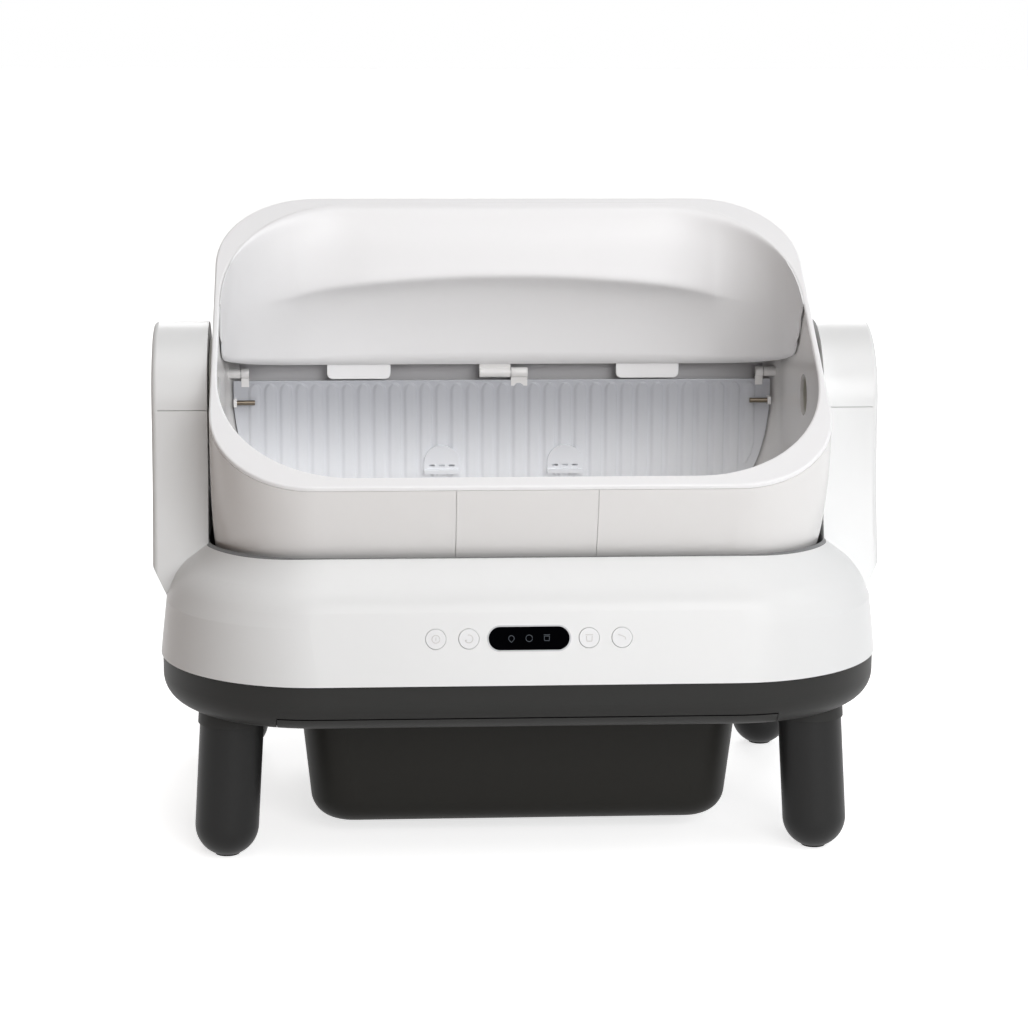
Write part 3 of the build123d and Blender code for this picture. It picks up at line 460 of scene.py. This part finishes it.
def boxCorners(low, high):
    # the eight corners between two opposite ones
    return [(x, y, z) for x in (low[0], high[0]) for y in (low[1], high[1]) for z in (low[2], high[2])]


boxFaces = np.array([(0, 1, 3, 2), (4, 6, 7, 5), (0, 4, 5, 1), (2, 3, 7, 6), (0, 2, 6, 4), (1, 5, 7, 3)])


def boxMesh(name, boxes):
    # one mesh of several boxes
    corners = np.array([boxCorners(low, high) for low, high in boxes])
    first = np.arange(len(boxes)) * corners.shape[1]
    faces = (boxFaces + first[:, None, None]).reshape(-1, 4)
    mesh = bpy.data.meshes.new(name)
    mesh.from_pydata((corners.reshape(-1, 3) * mm).tolist(), [], faces.tolist())
    return mesh


def rodGrid(start, end, y, z, radius):
    # a bar along X: rings whose radius grows from a pole over a slightly rounded edge, and back again
    edge = rod["edgeShare"] * radius
    bend = rod["bendShare"] * edge
    x = np.array([start, start, start + bend, start + edge, end - edge, end - bend, end, end])
    half = np.array([rod["pole"], radius - edge, radius - bend, radius])
    r = np.concatenate([half, half[::-1]])
    turn = np.linspace(0, 2 * pi, rod["around"], endpoint=False)
    grid = np.empty((len(x), len(turn), 3))
    grid[..., 0] = x[:, None]
    grid[..., 1] = y + r[:, None] * np.cos(turn)
    grid[..., 2] = z + r[:, None] * np.sin(turn)
    return grid


def addFlap(shape):
    sheet = gridMesh("flapPanel", [(flapSurface(shape), True, False)])
    place("flapPanel", sheet, materials["flap_white"], "flap", ["flap"])
    rods = [(rodGrid(low, high, shape["front"], shape["hinge"], shape["knuckle"]), False, True)
            for low, high in shape["knuckles"]]
    mesh = gridMesh("flapKnuckles", rods)
    place("flapKnuckles", mesh, materials["drum_white"], "flap", ["flap"])
    armFront = shape["front"] - shape["armProud"]
    boxes = [((low, armFront, shape["armFoot"]), (high, shape["back"], shape["hinge"]))
             for low, high in shape["knuckles"]]
    stubLow = shape["stubHeight"] - shape["stubHalf"]
    stubHigh = shape["stubHeight"] + shape["stubHalf"]
    boxes += [((low, shape["stubFront"], stubLow), (high, shape["back"], stubHigh))
              for low, high in shape["stubs"]]
    mesh = boxMesh("flapArms", boxes)
    arms = place("flapArms", mesh, materials["drum_white"], "flap", ["flap"])
    soften(arms, shape["soften"])


addFlap(flapShape)
print("flap made")

# Marks on the buttons and behind the display's glass

# a point on the sloping control face, its slope, how proud the buttons stand, and the strokes
face = dict(y=-221.0, z=196, slope=17 / 67, proud=0.6, lift=0.06, thick=0.12, width=0.55, steps=48)


def arc(radius, start, end, centre=(0, 0), count=40):
    # points on a circle between two angles in degrees
    turn = np.radians(np.linspace(start, end, count))
    return np.stack([centre[0] + radius * np.cos(turn), centre[1] + radius * np.sin(turn)], axis=1)


marks = {
    "left_outer_button": [arc(3.1, 0, 360), [(0, -1.4), (0, 1.4)]],
    "left_inner_button": [arc(3.1, 200, 470), [(-2.2, -2.4), (-2.95, -1.05), (-1.3, -0.9)]],
    "right_inner_button": [[(-2.3, 1.6), (-2.0, -2.8), (2.0, -2.8), (2.3, 1.6)], [(-3.1, 2.3), (3.1, 2.3)]],
    "right_outer_button": [[(-3.2, 2.4), (2.4, 0.4)], [(2.4, 0.4), (3.0, -1.8)]],
}
lightMarks = [  # each with its place along X
    (-14, [arc(2.2, -40, 220), [(-1.7, -1.4), (0, -3.2), (1.7, -1.4)]]),
    (0, [arc(2.6, 0, 360)]),
    (14, [[(-2, -2), (2, -2), (2, 1.6), (-2, 1.6), (-2, -2)], [(-2.6, 2.6), (2.6, 2.6)]]),
]


def middleX(node):
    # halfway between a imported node's two sides
    x = np.array(node.bound_box)[:, 0] / mm
    return (x.min() + x.max()) / 2


def strokeEdges(path):
    # left and right edges of a flat stroke: the path and half a width to either side of it
    path = resample(path, face["steps"])
    along = np.gradient(path, axis=0)
    along /= np.linalg.norm(along, axis=1, keepdims=True)
    side = np.stack([-along[:, 1], along[:, 0]], axis=1) * face["width"] / 2
    return path + side, path - side


def onFace(flat, lift):
    # plane coordinates on the tilted control face to the upright frame
    tilt = np.arctan(face["slope"])
    x = flat[:, 0]
    y = face["y"] + flat[:, 1] * np.sin(tilt) - lift * np.cos(tilt)
    z = face["z"] + flat[:, 1] * np.cos(tilt) + lift * np.sin(tilt)
    return np.stack([x, y, z], axis=1)


def strokeGrid(path, x, lift):
    # a band of four edges along the path, two high and two low, drawn to a point at both ends
    left, right = strokeEdges(np.array(path, float) + (x, 0))
    high = [onFace(edge, lift) for edge in (left, right)]
    low = [onFace(edge, lift - face["thick"]) for edge in (right, left)]
    grid = np.stack(high + low)
    grid[:, (0, -1)] = grid.mean(axis=0)[(0, -1), :]
    return grid


def addMarks():
    for name, strokes in marks.items():
        lift = face["proud"] + face["lift"]
        x = middleX(nodes[name])
        grids = [(strokeGrid(path, x, lift), True, False) for path in strokes]
        label = name.replace("button", "mark")
        place(label, gridMesh(label, grids), materials["mark_grey"], name + "_body")
    grids = [(strokeGrid(path, x, face["lift"]), True, False)
             for x, strokes in lightMarks for path in strokes]
    place("display_marks", gridMesh("display_marks", grids), materials["mark_blue"], "base")


addMarks()
print("marks made")

# Tabs under the hood's lower edge

tabShape = dict(inner=102, outer=159, foot=346.5, top=366, front=141.2, back=143.2,
                corner=5, edge=0.35, steps=8)


def tabOutline(shape, inset):
    # a rounded rectangle in X and Z, set in from the tab's edge: four quarter arcs in turn
    left, right = shape["inner"] + inset, shape["outer"] - inset
    low, high = shape["foot"] + inset, shape["top"] - inset
    radius = shape["corner"] - inset
    centres = ((right - radius, high - radius), (left + radius, high - radius),
               (left + radius, low + radius), (right - radius, low + radius))
    corners = [arc(radius, 90 * turn, 90 * turn + 90, centre, shape["steps"])
               for turn, centre in enumerate(centres)]
    return np.concatenate(corners)[::-1]


def addTab(name, side, shape):
    # rings from the middle of the front over softened edges to the middle of the back
    edge, front, back = shape["edge"], shape["front"], shape["back"]
    insets = ((2 * edge, front), (edge, front), (0, front + edge),
              (0, back - edge), (edge, back), (2 * edge, back))
    rings = [(tabOutline(shape, inset), y) for inset, y in insets]
    outline = rings[0][0]
    middle = np.broadcast_to(outline.mean(axis=0), outline.shape)
    rings = [(middle, front)] + rings + [(middle, back)]
    grid = np.stack([np.insert(flat * (side, 1), 1, y, axis=1) for flat, y in rings])
    if side < 0:
        grid = grid[:, ::-1]
    label = name.replace("_hood_tab", "TabFace")
    mesh = gridMesh(label, [(grid, False, True)])
    place(label, mesh, materials["hood_white"], "drum", [name])


addTab("left_hood_tab", -1, tabShape)
addTab("right_hood_tab", 1, tabShape)
print("tabs made")

# Stage: camera, lamps, background and floor

# angles in degrees, and the focal length as a share of the picture's width
view = dict(yaw=-3.565, pitch=11.655, roll=0.271, focalShare=2783.3 / 1028, sensor=36, clipEnd=60,
            place=(-0.14465, -2.34348, 0.73472))


def aimCamera():
    # back = away from the scene, right = forward x up, then right and up turned about it by the roll
    yaw, pitch, roll = (radians(view[key]) for key in ("yaw", "pitch", "roll"))
    back = Vector((sin(yaw) * cos(pitch), -cos(yaw) * cos(pitch), sin(pitch)))
    right = (-back).cross(Vector((0, 0, 1))).normalized()
    up = right.cross(-back)
    turnedRight = right * cos(roll) + up * sin(roll)
    turnedUp = up * cos(roll) - right * sin(roll)
    lens = bpy.data.cameras.new("photoCamera")
    lens.sensor_width = view["sensor"]
    lens.lens = view["focalShare"] * view["sensor"]
    lens.clip_end = view["clipEnd"]
    camera = bpy.data.objects.new("photoCamera", lens)
    rows = Matrix((turnedRight, turnedUp, back)).transposed().to_4x4()
    camera.matrix_world = Matrix.Translation(view["place"]) @ rows
    scene.collection.objects.link(camera)
    scene.camera = camera


lamps = {
    "keyLamp": dict(place=(2.3, -1.5, 2.0), aim=(0, 0, 0.32), size=(1.3, 1.3), watts=8.5,
                    colour=(1, 0.995, 0.985)),
    "topLamp": dict(place=(0.2, -1.1, 3.0), aim=(0, 0, 0.3), size=(2.4, 1.8), watts=24, colour=(1, 1, 1)),
    "backLamp": dict(place=(0.4, 2.9, 1.9), aim=(0, 0, 0.3), size=(2.2, 1.4), watts=30, colour=(1, 1, 1)),
    "frontLamp": dict(place=(0.8, -3.25, 1.5), aim=(0, 0, 0.35), size=(2.0, 1.4), watts=46.5,
                      colour=(1, 1, 1)),
}


def lamp(name, values):
    # a rectangular lamp that faces its aim
    light = bpy.data.lights.new(name, "AREA")
    light.shape = "RECTANGLE"
    light.size, light.size_y = values["size"]
    light.energy = values["watts"]
    light.color = values["colour"]
    holder = bpy.data.objects.new(name, light)
    spot = Vector(values["place"])
    aim = Vector(values["aim"]) - spot
    holder.matrix_world = Matrix.Translation(spot) @ aim.to_track_quat("-Z", "Y").to_matrix().to_4x4()
    scene.collection.objects.link(holder)


def rayMask(tree):
    # 1 for rays from the camera, mirror rays and rays through glass
    path = tree.nodes.new("ShaderNodeLightPath")
    total = path.outputs["Is Camera Ray"]
    for label in ("Is Glossy Ray", "Is Transmission Ray"):
        add = tree.nodes.new("ShaderNodeMath")
        add.operation = "ADD"
        add.use_clamp = True
        link(tree, total, add.inputs[0])
        link(tree, path.outputs[label], add.inputs[1])
        total = add.outputs[0]
    return total


room = dict(reach=(-0.7, 0.5), left=(0.06, 0.035, 0.018), right=(0.42, 0.42, 0.43), strength=1)


def background(values):
    # the room is dimmer and warmer on the left, and white to the camera, in mirrors and through glass
    world = bpy.data.worlds.new("studio")
    scene.world = world
    world.use_nodes = True
    tree = world.node_tree
    shade = tree.nodes["Background"]
    shade.inputs["Strength"].default_value = values["strength"]
    heading = tree.nodes.new("ShaderNodeTexCoord")
    axes = tree.nodes.new("ShaderNodeSeparateXYZ")
    link(tree, heading.outputs["Generated"], axes.inputs[0])
    across = tree.nodes.new("ShaderNodeMapRange")
    across.interpolation_type = "SMOOTHSTEP"
    across.inputs["From Min"].default_value, across.inputs["From Max"].default_value = values["reach"]
    link(tree, axes.outputs["X"], across.inputs["Value"])
    sides = tree.nodes.new("ShaderNodeMix")
    sides.data_type = "RGBA"
    sides.inputs["A"].default_value = (*values["left"], 1)
    sides.inputs["B"].default_value = (*values["right"], 1)
    link(tree, across.outputs["Result"], sides.inputs["Factor"])
    shown = tree.nodes.new("ShaderNodeMix")
    shown.data_type = "RGBA"
    shown.inputs["B"].default_value = (1, 1, 1, 1)
    link(tree, rayMask(tree), shown.inputs["Factor"])
    link(tree, sides.outputs["Result"], shown.inputs["A"])
    link(tree, shown.outputs["Result"], shade.inputs["Color"])


floorLook = dict(
    side=14, colour=(246, 246, 246), drift=0.0, roughness=0.7, grain=400, depth=0.0, glow=0.7,
    bounce=dict(axis="X", reach=(-1.0, 0.3), first=(96, 66, 38), last=(246, 246, 246)),
)


def floor(values):
    # white to the camera, and a wooden floor's tone on the left in the light that it throws back up
    side = values["side"]
    corners = [(-side, -side, 0), (side, -side, 0), (side, side, 0), (-side, side, 0)]
    mesh = bpy.data.meshes.new("studioFloor")
    mesh.from_pydata(corners, [], [(0, 1, 2, 3)])
    sheet = bpy.data.objects.new("studioFloor", mesh)
    scene.collection.objects.link(sheet)
    material = moulded("floorFinish", values)
    tree = material.node_tree
    shader = tree.nodes["Principled BSDF"]
    seen = rayMask(tree)
    tone = tree.nodes.new("ShaderNodeMix")
    tone.data_type = "RGBA"
    tone.inputs["B"].default_value = rgb(*values["colour"])
    link(tree, fadeColour(tree, values["bounce"]), tone.inputs["A"])
    link(tree, seen, tone.inputs["Factor"])
    link(tree, tone.outputs["Result"], tree.nodes["Group"].inputs["Colour"])
    glow = tree.nodes.new("ShaderNodeMath")
    glow.operation = "MULTIPLY"
    glow.inputs[1].default_value = values["glow"]
    link(tree, seen, glow.inputs[0])
    shader.inputs["Emission Color"].default_value = (1, 1, 1, 1)
    link(tree, glow.outputs[0], shader.inputs["Emission Strength"])
    mesh.materials.append(material)


aimCamera()
for name, values in lamps.items():
    lamp(name, values)
background(room)
floor(floorLook)
scene.view_settings.view_transform = "Standard"
print("stage set")
